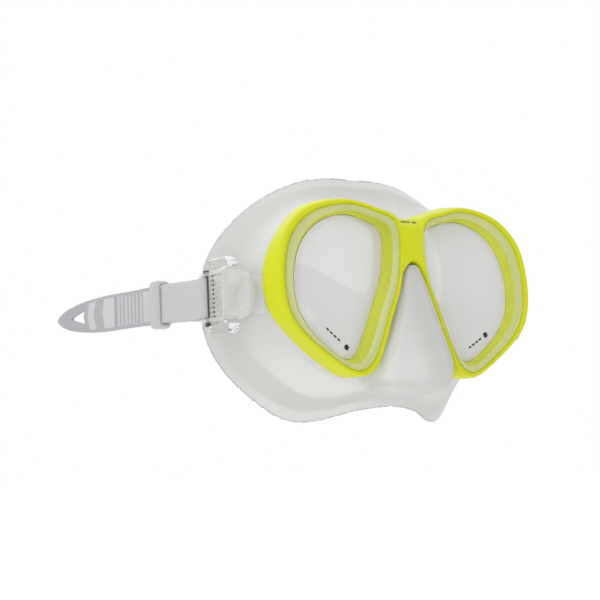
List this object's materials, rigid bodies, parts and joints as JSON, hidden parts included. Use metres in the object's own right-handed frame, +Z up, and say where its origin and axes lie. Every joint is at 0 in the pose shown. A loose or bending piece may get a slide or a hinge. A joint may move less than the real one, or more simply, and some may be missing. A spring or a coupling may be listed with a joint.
{
  "type": "snorkel mask",
  "caption": "Low-volume two-window diving mask: rigid frame, soft clear skirt with nose pocket, swivel strap buckles with squeeze releases and a split silicone strap.",
  "frame": {"origin": "in the face-seal plane, on the plane of symmetry, level with the middle of the two windows", "axes": "+X towards the wearer's left, -Y out of the windows, +Z up"},
  "size_m": [0.1882, 0.1695, 0.1154],
  "materials": {
    "frame_yellow": "gloss",
    "clear_silicone": "satin",
    "clear_plastic": "gloss",
    "tempered_glass": "gloss",
    "steel": "satin"
  },
  "bodies": {
    "mask": {"skirt": "clear_silicone", "frame": "frame_yellow", "bezel_left": "clear_plastic", "lens_left": "tempered_glass", "anchor_left": "clear_plastic", "swivel_post_left": "clear_plastic", "swivel_washer_left": "clear_plastic", "bezel_right": "clear_plastic", "lens_right": "tempered_glass", "anchor_right": "clear_plastic", "swivel_post_right": "clear_plastic", "swivel_washer_right": "clear_plastic"},
    "buckle_left": {"buckle_base_left": "clear_plastic", "buckle_cover_left": "clear_plastic", "roller_pin_left": "steel", "latch_pin_left": "steel", "button_spring_left": "steel", "latch_spring_left": "steel"},
    "roller_left": {"strap_roller_left": "clear_plastic"},
    "latch_left": {"latch_left": "clear_plastic"},
    "upper_button_left": {"upper_button_left": "clear_plastic"},
    "lower_button_left": {"lower_button_left": "clear_plastic"},
    "keeper_left": {"keeper_left": "clear_silicone"},
    "buckle_right": {"buckle_base_right": "clear_plastic", "buckle_cover_right": "clear_plastic", "roller_pin_right": "steel", "latch_pin_right": "steel", "button_spring_right": "steel", "latch_spring_right": "steel", "strap": "clear_silicone"},
    "roller_right": {"strap_roller_right": "clear_plastic"},
    "latch_right": {"latch_right": "clear_plastic"},
    "upper_button_right": {"upper_button_right": "clear_plastic"},
    "lower_button_right": {"lower_button_right": "clear_plastic"},
    "keeper_right": {"keeper_right": "clear_silicone"}
  },
  "joints": [
    {"name": "swivel_right", "type": "hinge", "parent": "mask", "child": "buckle_right", "pos_m": [0, -0.021, -0.0038], "axis": [1, 0, 0], "range_deg": [-40, 40]},
    {"name": "swivel_left", "type": "hinge", "parent": "mask", "child": "buckle_left", "pos_m": [0, -0.021, -0.0038], "axis": [1, 0, 0], "range_deg": [-40, 40]},
    {"name": "roller_spin_left", "type": "hinge", "parent": "buckle_left", "child": "roller_left", "pos_m": [0.0836, -0.00524, -0.0049], "axis": [0, 0.0698, 0.9976], "continuous": true},
    {"name": "upper_press_left", "type": "slide", "parent": "buckle_left", "child": "upper_button_left", "axis": [0, -0.0698, -0.9976], "range_m": [0, 0.0012], "stiffness_N_per_m": 1200, "springref_m": -0.0006},
    {"name": "lower_press_left", "type": "slide", "parent": "buckle_left", "child": "lower_button_left", "axis": [0, 0.0698, 0.9976], "range_m": [0, 0.0012], "stiffness_N_per_m": 1200, "springref_m": -0.0006},
    {"name": "latch_open_left", "type": "hinge", "parent": "buckle_left", "child": "latch_left", "pos_m": [0.0844, -0.0208, -0.00381], "axis": [0, -0.0698, -0.9976], "range_deg": [0, 12], "stiffness_Nm_per_rad": 0.012, "springref_deg": -2.86},
    {"name": "roller_spin_right", "type": "hinge", "parent": "buckle_right", "child": "roller_right", "pos_m": [-0.0836, -0.00524, -0.0049], "axis": [0, 0.0698, 0.9976], "continuous": true},
    {"name": "upper_press_right", "type": "slide", "parent": "buckle_right", "child": "upper_button_right", "axis": [0, -0.0698, -0.9976], "range_m": [0, 0.0012], "stiffness_N_per_m": 1200, "springref_m": -0.0006},
    {"name": "lower_press_right", "type": "slide", "parent": "buckle_right", "child": "lower_button_right", "axis": [0, 0.0698, 0.9976], "range_m": [0, 0.0012], "stiffness_N_per_m": 1200, "springref_m": -0.0006},
    {"name": "latch_open_right", "type": "hinge", "parent": "buckle_right", "child": "latch_right", "pos_m": [-0.0844, -0.0208, -0.00381], "axis": [0, 0.0698, 0.9976], "range_deg": [0, 12], "stiffness_Nm_per_rad": 0.012, "springref_deg": -2.86},
    {"name": "keeper_slide_left", "type": "slide", "parent": "buckle_right", "child": "keeper_left", "axis": [0, 0.9976, -0.0698], "range_m": [-0.005, 0.002]},
    {"name": "keeper_slide_right", "type": "slide", "parent": "buckle_right", "child": "keeper_right", "axis": [0, 0.9976, -0.0698], "range_m": [-0.005, 0.002]}
  ],
  "couplings": [
    {"joint": "swivel_left", "follows": "swivel_right", "ratio": 1},
    {"joint": "lower_press_left", "follows": "upper_press_left", "ratio": 1},
    {"joint": "latch_open_left", "follows": "upper_press_left", "rad_per_m": 174},
    {"joint": "lower_press_right", "follows": "upper_press_right", "ratio": 1},
    {"joint": "latch_open_right", "follows": "upper_press_right", "rad_per_m": 174}
  ]
}
